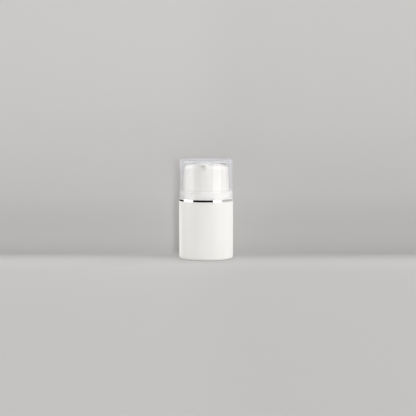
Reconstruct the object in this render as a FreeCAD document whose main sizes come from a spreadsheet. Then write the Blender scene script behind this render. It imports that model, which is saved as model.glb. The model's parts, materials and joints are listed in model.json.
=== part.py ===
import FreeCAD, Part
import math
import os
import re
import Sketcher

# Airless pump bottle for 30 ml of cream, with a snap-on clear cap.
# Millimetres, +Z up. The origin is the centre of the foot, on the surface that the bottle stands on.
# The nozzle points along -Y. Every piece is drawn at rest: pump up, piston at the bottom, cap on.

# Driving sizes: name, value, and what it measures.
SIZES = [
    ("bottle_radius", "20.0", "outside radius of the bottle at its rim, and of the trim ring"),
    ("bottle_height", "42.5", "surface to the rim of the bottle"),
    ("foot_draft", "0.15", "how much smaller the radius is at the foot"),
    ("side_wall", "1.6", "bottle wall at the rim"),
    ("floor_wall", "1.4", "bottle floor"),
    ("foot_corner_radius", "1.5", "outside round of the foot"),
    ("floor_bevel", "0.4", "inside corner of the floor"),
    ("foot_recess_depth", "0.8", "hollow under the foot"),
    ("foot_ring_width", "4.8", "ring that the bottle stands on, with its outside round"),
    ("vent_radius", "0.6", "air hole under the piston"),
    ("notch_width", "2.0", "air notch across the foot ring"),
    ("notch_depth", "0.4", "air notch across the foot ring"),
    ("foot_notches", "3", "number of air notches"),
    ("mouth_chamfer", "0.3", "inside edge of the rim"),
    ("snap_groove_depth", "0.25", "groove in the bore that holds the pump carrier"),
    ("snap_groove_height", "0.8", "groove in the bore that holds the pump carrier"),
    ("snap_drop", "2.2", "rim down to the snap groove"),
    ("seat_gap", "0.05", "gap round pieces that are clipped or pushed together"),
    ("ring_height", "1.7", "trim ring"),
    ("ring_lip_gap", "0.15", "trim ring's lip to the collar"),
    ("ring_edge_bevel", "0.15", "outer edges of the trim ring"),
    ("collar_flange_step", "1.0", "bottle radius in to the edge of the collar flange"),
    ("collar_flange_height", "0.6", "collar flange"),
    ("collar_wall", "0.75", "collar tube"),
    ("collar_rise", "8.0", "rim up to the top of the collar"),
    ("collar_step", "0.35", "how far the collar's upper tier is set in"),
    ("collar_step_drop", "2.6", "top of the collar down to its step"),
    ("collar_top_slope", "0.2", "slope round the top of the collar"),
    ("collar_skirt_wall", "0.95", "collar skirt inside the pump carrier"),
    ("collar_skirt_drop", "2.3", "rim down to the end of the collar skirt"),
    ("collar_slot_width", "1.6", "slots that let the collar skirt spring"),
    ("collar_slots", "6", "number of slots in the collar skirt"),
    ("ring_bead_rise", "0.35", "bead that holds the trim ring down"),
    ("ring_bead_height", "0.6", "bead that holds the trim ring down"),
    ("cap_bead_rise", "0.1", "bead that grips the cap"),
    ("cap_bead_height", "1.0", "bead that grips the cap"),
    ("cap_bead_lift", "3.0", "rim up to the bead that grips the cap"),
    ("cap_fit_gap", "0.1", "cap to the bead that grips it"),
    ("carrier_skirt_wall", "1.0", "pump carrier skirt"),
    ("carrier_skirt_drop", "4.8", "rim down to the end of the carrier skirt"),
    ("carrier_web_drop", "3.6", "rim down to the underside of the carrier web"),
    ("carrier_web", "1.2", "pump carrier web"),
    ("carrier_bead_rise", "0.25", "snap bead round the carrier skirt"),
    ("sleeve_rise", "5.2", "rim up to the top of the carrier sleeve"),
    ("sleeve_wall", "1.15", "carrier sleeve round the pump cylinder"),
    ("sleeve_bead_rise", "0.25", "bead that holds the lock ring"),
    ("sleeve_bead_height", "0.6", "bead that holds the lock ring"),
    ("sleeve_bead_drop", "0.6", "sleeve top down to its bead"),
    ("carrier_gussets", "6", "number of gussets on the carrier web"),
    ("gusset_width", "1.0", "gussets on the carrier web"),
    ("gusset_length", "2.6", "gussets on the carrier web"),
    ("gusset_height", "2.4", "gussets on the carrier web"),
    ("gasket_thickness", "0.5", "gasket under the cylinder flange"),
    ("cylinder_bore", "4.5", "radius that the pump piston runs in"),
    ("cylinder_wall", "1.0", "pump cylinder"),
    ("cylinder_gap", "0.15", "pump cylinder to the carrier sleeve"),
    ("cylinder_flange", "0.8", "thickness of the cylinder flange"),
    ("cylinder_margin", "0.45", "cylinder above the pump piston at its highest"),
    ("throat_depth", "1.6", "dosing chamber floor down to the catch above the inlet ball"),
    ("inlet_radius", "1.2", "inlet of the pump cylinder"),
    ("inlet_length", "1.6", "inlet up to the ball seat"),
    ("inlet_wall", "1.0", "wall round the ball chamber"),
    ("ball_radius", "1.75", "inlet ball"),
    ("ball_play", "0.55", "room round the inlet ball"),
    ("ball_travel", "0.8", "lift of the inlet ball"),
    ("ball_catch", "0.1", "how far the catch above the ball closes in on it"),
    ("ball_seat_gap", "0.03", "inlet ball above its seat"),
    ("catch_height", "0.4", "catch above the inlet ball"),
    ("pump_stroke", "4.0", "travel of the actuator"),
    ("stroke_end_gap", "0.2", "piston rod above the chamber floor when pressed"),
    ("rod_head_radius", "3.2", "valve head of the piston rod"),
    ("rod_head_height", "1.0", "valve head of the piston rod"),
    ("rod_radius", "1.8", "shank of the piston rod"),
    ("rod_bore", "1.0", "channel in the piston rod"),
    ("rod_end_drop", "2.0", "stem flange down to the end of the piston rod"),
    ("port_radius", "0.4", "side ports of the piston rod"),
    ("piston_length", "4.0", "pump piston"),
    ("piston_lag", "0.6", "play of the pump piston on its rod, which opens the ports"),
    ("seal_gap", "0.08", "pump piston lips to the cylinder"),
    ("piston_core_wall", "1.4", "pump piston between its bore and its lips"),
    ("piston_waist", "0.3", "how far the pump piston draws in between its lips"),
    ("piston_lip", "0.4", "height of each sealing edge of the pump piston"),
    ("piston_lip_groove", "1.1", "depth of the groove behind each lip"),
    ("piston_lip_wall", "0.25", "thickness of each lip's edge"),
    ("slide_gap", "0.1", "pump piston on its rod"),
    ("stem_radius", "2.5", "stem"),
    ("stem_guide_gap", "0.15", "stem in the lock ring"),
    ("stem_channel", "1.2", "channel through the top of the stem"),
    ("stem_flange_radius", "5.4", "flange that the spring lifts"),
    ("stem_flange_height", "1.0", "flange that the spring lifts"),
    ("stem_insertion", "4.0", "stem inside the actuator socket"),
    ("stem_chamfer", "0.3", "lead-in at the top of the stem"),
    ("lock_plate", "1.2", "thickness of the lock ring plate"),
    ("lock_skirt_wall", "0.8", "lock ring skirt"),
    ("lock_skirt_length", "3.1", "lock ring skirt"),
    ("lock_fit_gap", "0.1", "lock ring on the carrier sleeve"),
    ("spring_length", "10.1", "space that the spring is fitted in"),
    ("spring_radius", "4.4", "centre of the wire to the axis"),
    ("wire_radius", "0.4", "spring wire"),
    ("spring_coils", "6", "number of coils"),
    ("spring_end_pitch", "1.3", "climb of the first and the last coil"),
    ("spring_end_gap", "0.02", "spring to the faces that it bears on"),
    ("skirt_gap", "0.2", "actuator skirt to the collar"),
    ("actuator_draft", "0.65", "how much smaller the actuator is where its side meets the dome"),
    ("actuator_wall", "1.2", "actuator shell"),
    ("actuator_skirt_lap", "3.0", "actuator skirt hidden in the collar"),
    ("crown_rise", "5.05", "top of the stem up to the top of the dome"),
    ("dome_radius", "60.0", "curve of the dome"),
    ("actuator_corner_radius", "3.0", "round between the dome and the side"),
    ("socket_wall", "1.35", "socket on the stem"),
    ("actuator_ribs", "6", "number of ribs under the dome"),
    ("rib_width", "0.9", "ribs under the dome"),
    ("rib_height", "3.2", "ribs under the dome, down from its top"),
    ("nozzle_drop", "2.25", "top of the dome down to the centre of the nozzle"),
    ("boss_reach", "0.9", "nozzle boss past the edge of the dome"),
    ("boss_radius", "3.4", "nozzle boss, round below and flat on top"),
    ("boss_top_drop", "0.05", "top of the dome down to the flat of the boss"),
    ("boss_side_round", "0.6", "long edges of the boss beside its flat top"),
    ("boss_edge_round", "0.3", "front edge of the nozzle boss"),
    ("duct_radius", "0.9", "channel from the stem to the nozzle"),
    ("insert_radius", "1.65", "nozzle insert"),
    ("insert_length", "3.0", "nozzle insert"),
    ("insert_recess", "0.7", "insert behind the face of the boss"),
    ("insert_cup_radius", "1.15", "cup in the face of the insert"),
    ("insert_cup_depth", "1.2", "cup in the face of the insert"),
    ("orifice_radius", "0.35", "outlet"),
    ("follower_gap", "0.1", "follower piston to the bore and the floor"),
    ("follower_length", "6.6", "height of the follower piston over its lips"),
    ("follower_crown_rise", "1.0", "crown above the lips"),
    ("follower_crown_inset", "1.9", "bore in to the edge of the crown"),
    ("follower_wall", "1.0", "follower piston"),
    ("follower_waist", "0.7", "how far the follower draws in between its lips"),
    ("follower_lip", "0.35", "height of each wiping edge"),
    ("follower_lip_flare", "1.1", "height over which each lip flares"),
    ("follower_lip_groove", "0.9", "depth of the groove behind the top lip"),
    ("well_gap", "0.7", "follower well to the pump cylinder that dips into it"),
    ("well_wall", "0.7", "well in the follower piston"),
    ("cap_inset", "0.5", "how much smaller the cap is than the bottle"),
    ("cap_draft", "0.1", "how much smaller the cap is at its top"),
    ("cap_headroom", "1.45", "top of the dome up to the inside of the cap"),
    ("cap_wall", "1.35", "cap side"),
    ("cap_top", "1.4", "cap top"),
    ("cap_corner_radius", "1.2", "outside corner of the cap"),
    ("cap_inner_round", "0.7", "inside corner of the cap"),
    ("cap_mouth_gap", "0.15", "recess inside the cap mouth to the ring bead"),
    ("cap_mouth_height", "1.0", "recess inside the cap mouth"),
    ("cap_edge_bevel", "0.2", "edge of the cap mouth"),
    ("overrun", "1.0", "how far cuts and joined forms reach past a face"),
]
SIZE_NAMES = {name for name, value, meaning in SIZES}
SAME_PLACE = 1e-4

# Places that pieces share, worked out from the sizes above.
RIM = "bottle_height"
BORE = "(bottle_radius - side_wall)"
FLOOR = "(foot_recess_depth + floor_wall)"
RING_TOP = f"({RIM} + ring_height)"
COLLAR_TOP = f"({RIM} + collar_rise)"
CAP_RADIUS = "(bottle_radius - cap_inset)"
CAP_BORE = f"({CAP_RADIUS} - cap_wall)"
COLLAR_RADIUS = f"({CAP_BORE} - cap_fit_gap - cap_bead_rise)"
COLLAR_BORE = f"({COLLAR_RADIUS} - collar_wall)"
RING_BEAD = f"({COLLAR_RADIUS} + ring_bead_rise)"
FLANGE_EDGE = "(bottle_radius - collar_flange_step)"
FLANGE_TOP = f"({RIM} + collar_flange_height)"
RING_LIP = f"({COLLAR_RADIUS} + ring_lip_gap)"
SNAP_TOP = f"({RIM} - snap_drop)"
CARRIER_SKIRT = f"({BORE} - seat_gap)"
CARRIER_BORE = f"({CARRIER_SKIRT} - carrier_skirt_wall)"
COLLAR_SKIRT = f"({CARRIER_BORE} - seat_gap)"
WEB_BOTTOM = f"({RIM} - carrier_web_drop)"
WEB_TOP = f"({WEB_BOTTOM} + carrier_web)"
CYLINDER_OUTSIDE = "(cylinder_bore + cylinder_wall)"
SLEEVE_BORE = f"({CYLINDER_OUTSIDE} + cylinder_gap)"
SLEEVE_OUTSIDE = f"({SLEEVE_BORE} + sleeve_wall)"
SLEEVE_TOP = f"({RIM} + sleeve_rise)"
GASKET_TOP = f"({SLEEVE_TOP} + gasket_thickness)"
CYLINDER_TOP = f"({GASKET_TOP} + cylinder_flange)"
PISTON_TOP = f"({CYLINDER_TOP} - cylinder_margin - piston_lag)"
PISTON_BOTTOM = f"({PISTON_TOP} - piston_length)"
PISTON_BORE = "(rod_radius + slide_gap)"
ROD_HEAD_TOP = f"({PISTON_BOTTOM} - seat_gap)"
CHAMBER_FLOOR = f"({ROD_HEAD_TOP} - rod_head_height - pump_stroke - stroke_end_gap)"
CATCH_TOP = f"({CHAMBER_FLOOR} - throat_depth)"
CATCH_BOTTOM = f"({CATCH_TOP} - catch_height)"
CATCH_RADIUS = "(ball_radius - ball_catch)"
CATCH_LIFT = f"sqrt(ball_radius * ball_radius - {CATCH_RADIUS} * {CATCH_RADIUS})"
BALL_CENTRE = f"({CATCH_BOTTOM} - seat_gap - {CATCH_LIFT} - ball_travel)"
BALL_CHAMBER = "(ball_radius + ball_play)"
BALL_SEAT = f"({BALL_CENTRE} - ball_seat_gap - ball_radius * sqrt(2) + inlet_radius)"
CYLINDER_TIP = f"({BALL_SEAT} - inlet_length)"
STEM_BOTTOM = f"({PISTON_TOP} + piston_lag + seat_gap)"
STEM_BORE = "(rod_radius + seat_gap)"
SPRING_SEAT = f"({CYLINDER_TOP} + lock_plate)"
STEM_FLANGE = f"({SPRING_SEAT} + spring_length)"
ROD_TOP = f"({STEM_FLANGE} - rod_end_drop)"
SOCKET_BOTTOM = f"({STEM_FLANGE} + stem_flange_height)"
STEM_TOP = f"({SOCKET_BOTTOM} + stem_insertion)"
SOCKET_BORE = "(stem_radius + seat_gap)"
SOCKET_OUTSIDE = f"({SOCKET_BORE} + socket_wall)"
ACTUATOR_BOTTOM = f"({COLLAR_TOP} - actuator_skirt_lap)"
ACTUATOR_SKIRT = f"({COLLAR_BORE} - skirt_gap)"
ACTUATOR_SIDE = f"({ACTUATOR_SKIRT} - actuator_draft)"
DOME_TOP = f"({STEM_TOP} + crown_rise)"
DOME_CENTRE = f"({DOME_TOP} - dome_radius)"
INNER_DOME_RADIUS = "(dome_radius - actuator_wall)"
INNER_SIDE = f"({ACTUATOR_SIDE} - actuator_wall)"
NOZZLE = f"({DOME_TOP} - nozzle_drop)"
BOSS_FACE = f"({ACTUATOR_SIDE} + boss_reach)"
FOLLOWER_OUTSIDE = f"({BORE} - follower_gap)"
FOLLOWER_BOTTOM = f"({FLOOR} + follower_gap)"
LIP_TOP = f"({FOLLOWER_BOTTOM} + follower_length)"
CROWN_TOP = f"({LIP_TOP} + follower_crown_rise)"
CROWN_EDGE = f"({BORE} - follower_crown_inset)"
WELL_BORE = f"({CYLINDER_OUTSIDE} + well_gap)"
CAP_BOTTOM = f"({RING_TOP} + seat_gap)"
CAP_CEILING = f"({DOME_TOP} + cap_headroom)"
CAP_TOP = f"({CAP_CEILING} + cap_top)"


def bound(text):
    """The text of a formula, with each size name pointing at its cell."""
    return re.sub(r"[a-z_]+", lambda word: f"Sizes.{word[0]}" if word[0] in SIZE_NAMES else word[0], text)


def worth(holder, text):
    """What a formula comes to now."""
    value = holder.evalExpression(bound(text))
    return float(getattr(value, "Value", value))


def fill_sheet(doc):
    """The sheet of driving sizes."""
    sheet = doc.addObject("Spreadsheet::Sheet", "Sizes")
    for row, (name, value, meaning) in enumerate(SIZES, start=1):
        sheet.set(f"A{row}", name)
        sheet.set(f"B{row}", value)
        sheet.set(f"C{row}", meaning)
        sheet.setAlias(f"B{row}", name)
    doc.recompute()


def origin_item(body, role):
    """One of the body's own planes or axes."""
    return next(item for item in body.Origin.OriginFeatures if item.Role == role)


def new_body(doc, name):
    """An empty piece with its own name."""
    body = doc.addObject("PartDesign::Body", name)
    body.Label = name
    return body


def new_sketch(body, name, plane, lift=None):
    """An empty sketch on one of the body's planes, or lifted off it."""
    sketch = body.newObject("Sketcher::SketchObject", f"{body.Name}_{name}")
    sketch.AttachmentSupport = [(origin_item(body, plane), "")]
    sketch.MapMode = "FlatFace"
    if lift:
        sketch.setExpression("AttachmentOffset.Base.z", bound(lift))
    return sketch


def pin(sketch, geometry, point, across, up):
    """Hold one point of a sketch at a place given by two formulas."""
    for kind, axis, formula in (("DistanceX", -2, across), ("DistanceY", -1, up)):
        if formula == "0":
            sketch.addConstraint(Sketcher.Constraint("PointOnObject", geometry, point, axis))
        else:
            held = Sketcher.Constraint(kind, -1, 1, geometry, point, worth(sketch, formula))
            number = sketch.addConstraint(held)
            sketch.setExpression(f"Constraints[{number}]", bound(formula))


def hold_radius(sketch, geometry, formula):
    """Hold the radius of an arc or a circle."""
    number = sketch.addConstraint(Sketcher.Constraint("Radius", geometry, worth(sketch, formula)))
    sketch.setExpression(f"Constraints[{number}]", bound(formula))


def arc_between(start, end, centre):
    """The short arc between two points, and which of its ends lies at the start."""
    first = math.atan2(start.y - centre.y, start.x - centre.x)
    last = math.atan2(end.y - centre.y, end.x - centre.x)
    turn = (last - first) % math.tau
    circle = Part.Circle(centre, FreeCAD.Vector(0, 0, 1), (start - centre).Length)
    if turn < math.pi:
        return Part.ArcOfCircle(circle, first, first + turn), 1
    return Part.ArcOfCircle(circle, last, last + math.tau - turn), 2


def outline(body, name, corners, plane="XZ_Plane"):
    """A closed outline. A corner is (across, up), with a third formula where it is rounded."""
    sketch = new_sketch(body, name, plane)
    places = [FreeCAD.Vector(worth(body, corner[0]), worth(body, corner[1]), 0) for corner in corners]
    count = len(corners)
    arrivals = list(places)
    departures = list(places)
    arcs = {}
    for index, corner in enumerate(corners):
        if len(corner) < 3:
            continue
        back = (places[index - 1] - places[index]).normalize()
        onward = (places[(index + 1) % count] - places[index]).normalize()
        half = back.getAngle(onward) / 2
        radius = worth(body, corner[2])
        arrivals[index] = places[index] + back * (radius / math.tan(half))
        departures[index] = places[index] + onward * (radius / math.tan(half))
        centre = places[index] + (back + onward).normalize() * (radius / math.sin(half))
        arcs[index] = arc_between(arrivals[index], departures[index], centre)
    for index in range(count):
        sketch.addGeometry(Part.LineSegment(departures[index], arrivals[(index + 1) % count]))
    for index, corner in enumerate(corners):
        before = (index - 1) % count
        if index not in arcs:
            sketch.addConstraint(Sketcher.Constraint("Coincident", before, 2, index, 1))
            pin(sketch, index, 1, corner[0], corner[1])
            continue
        arc, near_end = arcs[index]
        bend = sketch.addGeometry(arc)
        sketch.addConstraint(Sketcher.Constraint("Tangent", before, 2, bend, near_end))
        sketch.addConstraint(Sketcher.Constraint("Tangent", bend, 3 - near_end, index, 1))
        hold_radius(sketch, bend, corner[2])
        tip = sketch.addGeometry(Part.Point(places[index]), True)
        sketch.addConstraint(Sketcher.Constraint("PointOnObject", tip, 1, before))
        sketch.addConstraint(Sketcher.Constraint("PointOnObject", tip, 1, index))
        pin(sketch, tip, 1, corner[0], corner[1])
    return sketch


def turn_about_axis(body, kind, sketch):
    """Turn a sketch round the piece's axis, adding or cutting."""
    feature = body.newObject(f"PartDesign::{kind}", f"{sketch.Name}_turned")
    feature.Profile = sketch
    feature.ReferenceAxis = (sketch, ["V_Axis"])
    feature.Angle = 360
    return feature


def turned(body, name, corners):
    """A round form from its outline."""
    return turn_about_axis(body, "Revolution", outline(body, name, corners))


def turned_cut(body, name, corners):
    """A round cut from its outline."""
    return turn_about_axis(body, "Groove", outline(body, name, corners))


def across_plane(body, kind, sketch, width):
    """Pull a sketch out to both sides of its plane, adding or cutting."""
    feature = body.newObject(f"PartDesign::{kind}", f"{sketch.Name}_pulled")
    feature.Profile = sketch
    feature.SideType = "Symmetric"
    feature.setExpression("Length", bound(width))
    return feature


def repeat_round(body, feature, copies):
    """Repeat a feature evenly round the piece's axis."""
    pattern = body.newObject("PartDesign::PolarPattern", f"{feature.Name}_round")
    pattern.Originals = [feature]
    pattern.Axis = (origin_item(body, "Z_Axis"), [""])
    pattern.Angle = 360
    pattern.setExpression("Occurrences", bound(copies))
    body.Tip = pattern
    return pattern


def make_bottle(doc):
    """One-piece cup that holds the cream, with a recessed foot and a snap groove in its mouth."""
    body = new_body(doc, "bottle")
    foot = "(bottle_radius - foot_draft)"
    recess = f"({foot} - foot_ring_width)"
    groove = f"({BORE} + snap_groove_depth)"
    groove_bottom = f"({SNAP_TOP} - snap_groove_height)"
    turned(body, "section", [
        ("0", "foot_recess_depth"),
        (recess, "foot_recess_depth"),
        (recess, "0"),
        (foot, "0", "foot_corner_radius"),
        ("bottle_radius", RIM),
        (f"{BORE} + mouth_chamfer", RIM),
        (BORE, f"{RIM} - mouth_chamfer"),
        (BORE, f"{SNAP_TOP} + snap_groove_depth"),
        (groove, SNAP_TOP),
        (groove, groove_bottom),
        (BORE, f"{groove_bottom} - snap_groove_depth"),
        (BORE, f"{FLOOR} + floor_bevel"),
        (f"{BORE} - floor_bevel", FLOOR),
        ("0", FLOOR),
    ])
    hole = new_sketch(body, "vent", "XY_Plane")
    hole.addGeometry(Part.Circle(FreeCAD.Vector(), FreeCAD.Vector(0, 0, 1), worth(body, "vent_radius")))
    hole.addConstraint(Sketcher.Constraint("Coincident", 0, 3, -1, 1))
    hold_radius(hole, 0, "vent_radius")
    across_plane(body, "Pocket", hole, f"({FLOOR} + overrun) * 2")
    notch = outline(body, "notch", [
        (f"{recess} - overrun", "0 - overrun"),
        (f"{foot} + overrun", "0 - overrun"),
        (f"{foot} + overrun", "notch_depth"),
        (f"{recess} - overrun", "notch_depth"),
    ])
    repeat_round(body, across_plane(body, "Pocket", notch, "notch_width"), "foot_notches")
    return body


def make_trim_ring(doc):
    """Bright ring between the bottle and the cap. Its lip rests on the collar flange."""
    body = new_body(doc, "trim_ring")
    turned(body, "section", [
        (f"{FLANGE_EDGE} + seat_gap", RIM),
        ("bottle_radius - ring_edge_bevel", RIM),
        ("bottle_radius", f"{RIM} + ring_edge_bevel"),
        ("bottle_radius", f"{RING_TOP} - ring_edge_bevel"),
        ("bottle_radius - ring_edge_bevel", RING_TOP),
        (RING_LIP, RING_TOP),
        (RING_LIP, FLANGE_TOP),
        (f"{FLANGE_EDGE} + seat_gap", FLANGE_TOP),
    ])
    return body


def make_collar(doc):
    """Shoulder that closes the bottle's mouth, guides the actuator and grips the cap."""
    body = new_body(doc, "collar")
    skirt_bore = f"({COLLAR_SKIRT} - collar_skirt_wall)"
    skirt_end = f"({RIM} - collar_skirt_drop)"
    ring_bead_bottom = f"({RING_TOP} + seat_gap)"
    ring_bead_top = f"({ring_bead_bottom} + ring_bead_height)"
    cap_bead_bottom = f"({RIM} + cap_bead_lift)"
    cap_bead_top = f"({cap_bead_bottom} + cap_bead_height)"
    upper_tier = f"({COLLAR_RADIUS} - collar_step)"
    turned(body, "section", [
        (skirt_bore, skirt_end),
        (COLLAR_SKIRT, skirt_end),
        (COLLAR_SKIRT, RIM),
        (FLANGE_EDGE, RIM),
        (FLANGE_EDGE, FLANGE_TOP),
        (COLLAR_RADIUS, FLANGE_TOP),
        (COLLAR_RADIUS, ring_bead_bottom),
        (RING_BEAD, f"{ring_bead_bottom} + ring_bead_height / 3"),
        (COLLAR_RADIUS, ring_bead_top),
        (COLLAR_RADIUS, cap_bead_bottom),
        (f"{COLLAR_RADIUS} + cap_bead_rise", f"{cap_bead_bottom} + cap_bead_height / 2"),
        (COLLAR_RADIUS, cap_bead_top),
        (COLLAR_RADIUS, f"{COLLAR_TOP} - collar_step_drop - collar_step"),
        (upper_tier, f"{COLLAR_TOP} - collar_step_drop"),
        (upper_tier, f"{COLLAR_TOP} - collar_top_slope"),
        (f"{upper_tier} - collar_top_slope", COLLAR_TOP),
        (COLLAR_BORE, COLLAR_TOP),
        (COLLAR_BORE, FLANGE_TOP),
        (skirt_bore, FLANGE_TOP),
    ])
    slot = outline(body, "slot", [
        (f"{skirt_bore} - overrun", f"{skirt_end} - overrun"),
        (f"{COLLAR_SKIRT} + overrun", f"{skirt_end} - overrun"),
        (f"{COLLAR_SKIRT} + overrun", RIM),
        (f"{skirt_bore} - overrun", RIM),
    ])
    repeat_round(body, across_plane(body, "Pocket", slot, "collar_slot_width"), "collar_slots")
    return body


def make_pump_carrier(doc):
    """Inner plug that snaps into the bottle and holds the pump cylinder in its sleeve."""
    body = new_body(doc, "pump_carrier")
    skirt_end = f"({RIM} - carrier_skirt_drop)"
    bead_top = f"({SNAP_TOP} - seat_gap)"
    bead_bottom = f"({SNAP_TOP} - snap_groove_height + seat_gap)"
    bead = f"({CARRIER_SKIRT} + carrier_bead_rise)"
    sleeve_bead_top = f"({SLEEVE_TOP} - sleeve_bead_drop)"
    sleeve_bead_bottom = f"({sleeve_bead_top} - sleeve_bead_height)"
    sleeve_bead = f"({SLEEVE_OUTSIDE} + sleeve_bead_rise)"
    turned(body, "section", [
        (SLEEVE_BORE, WEB_BOTTOM),
        (CARRIER_BORE, WEB_BOTTOM),
        (CARRIER_BORE, skirt_end),
        (CARRIER_SKIRT, skirt_end),
        (CARRIER_SKIRT, bead_bottom),
        (bead, f"{bead_bottom} + carrier_bead_rise"),
        (bead, bead_top),
        (CARRIER_SKIRT, bead_top),
        (CARRIER_SKIRT, RIM),
        (CARRIER_BORE, RIM),
        (CARRIER_BORE, WEB_TOP),
        (SLEEVE_OUTSIDE, WEB_TOP),
        (SLEEVE_OUTSIDE, sleeve_bead_bottom),
        (sleeve_bead, f"{sleeve_bead_bottom} + sleeve_bead_rise"),
        (sleeve_bead, f"{sleeve_bead_top} - sleeve_bead_rise"),
        (SLEEVE_OUTSIDE, sleeve_bead_top),
        (SLEEVE_OUTSIDE, SLEEVE_TOP),
        (SLEEVE_BORE, SLEEVE_TOP),
    ])
    gusset = outline(body, "gusset", [
        (f"{SLEEVE_OUTSIDE} - sleeve_wall / 2", f"{WEB_TOP} - carrier_web / 2"),
        (f"{SLEEVE_OUTSIDE} + gusset_length", f"{WEB_TOP} - carrier_web / 2"),
        (f"{SLEEVE_OUTSIDE} + gusset_length", WEB_TOP),
        (SLEEVE_OUTSIDE, f"{WEB_TOP} + gusset_height"),
        (f"{SLEEVE_OUTSIDE} - sleeve_wall / 2", f"{WEB_TOP} + gusset_height"),
    ])
    repeat_round(body, across_plane(body, "Pad", gusset, "gusset_width"), "carrier_gussets")
    return body


def make_pump_gasket(doc):
    """Flat gasket that seals the cylinder flange on the carrier sleeve."""
    body = new_body(doc, "pump_gasket")
    turned(body, "section", [
        (SLEEVE_BORE, SLEEVE_TOP),
        (SLEEVE_OUTSIDE, SLEEVE_TOP),
        (SLEEVE_OUTSIDE, GASKET_TOP),
        (SLEEVE_BORE, GASKET_TOP),
    ])
    return body


def make_pump_cylinder(doc):
    """Dosing chamber with its flange, and below it the cage and the seat of the inlet ball."""
    body = new_body(doc, "pump_cylinder")
    tip_outside = f"({BALL_CHAMBER} + inlet_wall)"
    cone = f"({BALL_CHAMBER} - {CATCH_RADIUS})"
    turned(body, "section", [
        ("inlet_radius", CYLINDER_TIP),
        (f"{tip_outside} - inlet_wall / 2", CYLINDER_TIP),
        (tip_outside, f"{CYLINDER_TIP} + inlet_wall"),
        (tip_outside, CATCH_BOTTOM),
        (CYLINDER_OUTSIDE, f"{CHAMBER_FLOOR} - cylinder_wall / 4"),
        (CYLINDER_OUTSIDE, GASKET_TOP),
        (SLEEVE_OUTSIDE, GASKET_TOP),
        (SLEEVE_OUTSIDE, CYLINDER_TOP),
        ("cylinder_bore + cylinder_wall / 4", CYLINDER_TOP),
        ("cylinder_bore", f"{CYLINDER_TOP} - cylinder_wall / 4"),
        ("cylinder_bore", CHAMBER_FLOOR),
        (BALL_CHAMBER, CHAMBER_FLOOR),
        (CATCH_RADIUS, CATCH_TOP),
        (CATCH_RADIUS, CATCH_BOTTOM),
        (BALL_CHAMBER, f"{CATCH_BOTTOM} - {cone}"),
        (BALL_CHAMBER, f"{BALL_SEAT} + {BALL_CHAMBER} - inlet_radius"),
        ("inlet_radius", BALL_SEAT),
    ])
    return body


def make_inlet_ball(doc):
    """Ball that closes the inlet of the pump."""
    ball = doc.addObject("Part::Sphere", "inlet_ball")
    ball.Label = "inlet_ball"
    ball.setExpression("Radius", bound("ball_radius"))
    ball.setExpression("Placement.Base.z", bound(BALL_CENTRE))
    return ball


def make_lock_ring(doc):
    """Clip-on ring that holds the cylinder down, guides the stem and carries the spring."""
    body = new_body(doc, "lock_ring")
    inside = f"({SLEEVE_OUTSIDE} + lock_fit_gap)"
    outside = f"({inside} + lock_skirt_wall)"
    end = f"({CYLINDER_TOP} - lock_skirt_length)"
    groove = f"({SLEEVE_OUTSIDE} + sleeve_bead_rise + lock_fit_gap)"
    groove_top = f"({SLEEVE_TOP} - sleeve_bead_drop + lock_fit_gap)"
    groove_bottom = f"({groove_top} - sleeve_bead_height - lock_fit_gap * 2)"
    guide = "(stem_radius + stem_guide_gap)"
    turned(body, "section", [
        (inside, end),
        (outside, end),
        (outside, f"{SPRING_SEAT} - lock_plate / 3"),
        (f"{outside} - lock_plate / 3", SPRING_SEAT),
        (guide, SPRING_SEAT),
        (guide, CYLINDER_TOP),
        (inside, CYLINDER_TOP),
        (inside, groove_top),
        (groove, groove_top),
        (groove, groove_bottom),
        (inside, groove_bottom),
    ])
    return body


def spring_height(turns, coils, end_pitch, climb):
    """Height of the wire's centre after so many turns: close coils at both ends, open ones between."""
    open_pitch = (climb - 2 * end_pitch) / (coils - 2)
    first = min(turns, 1.0)
    last = max(turns - (coils - 1), 0.0)
    between = turns - first - last
    return (first + last) * end_pitch + between * open_pitch


def biarc(start, start_way, end, end_way):
    """Two arcs that leave one point and reach another along the given directions."""
    gap = end - start
    ways = start_way + end_way
    square = ways.dot(ways) - 4.0
    middle = -gap.dot(ways)
    reach = (-middle - math.sqrt(middle * middle - square * gap.dot(gap))) / square
    tips = (start + start_way * reach, end - end_way * reach)
    joint = (tips[0] + tips[1]) * 0.5
    arcs = []
    for first, tip, last in ((start, tips[0], joint), (joint, tips[1], end)):
        chord_middle = (first + last) * 0.5
        rise = tip - chord_middle
        lean = math.atan2(rise.Length, (last - first).Length / 2)
        sagitta = (last - first).Length / 2 * math.tan(lean / 2)
        arcs.append(Part.Arc(first, chord_middle + rise.normalize() * sagitta, last).toShape())
    return arcs


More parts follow.
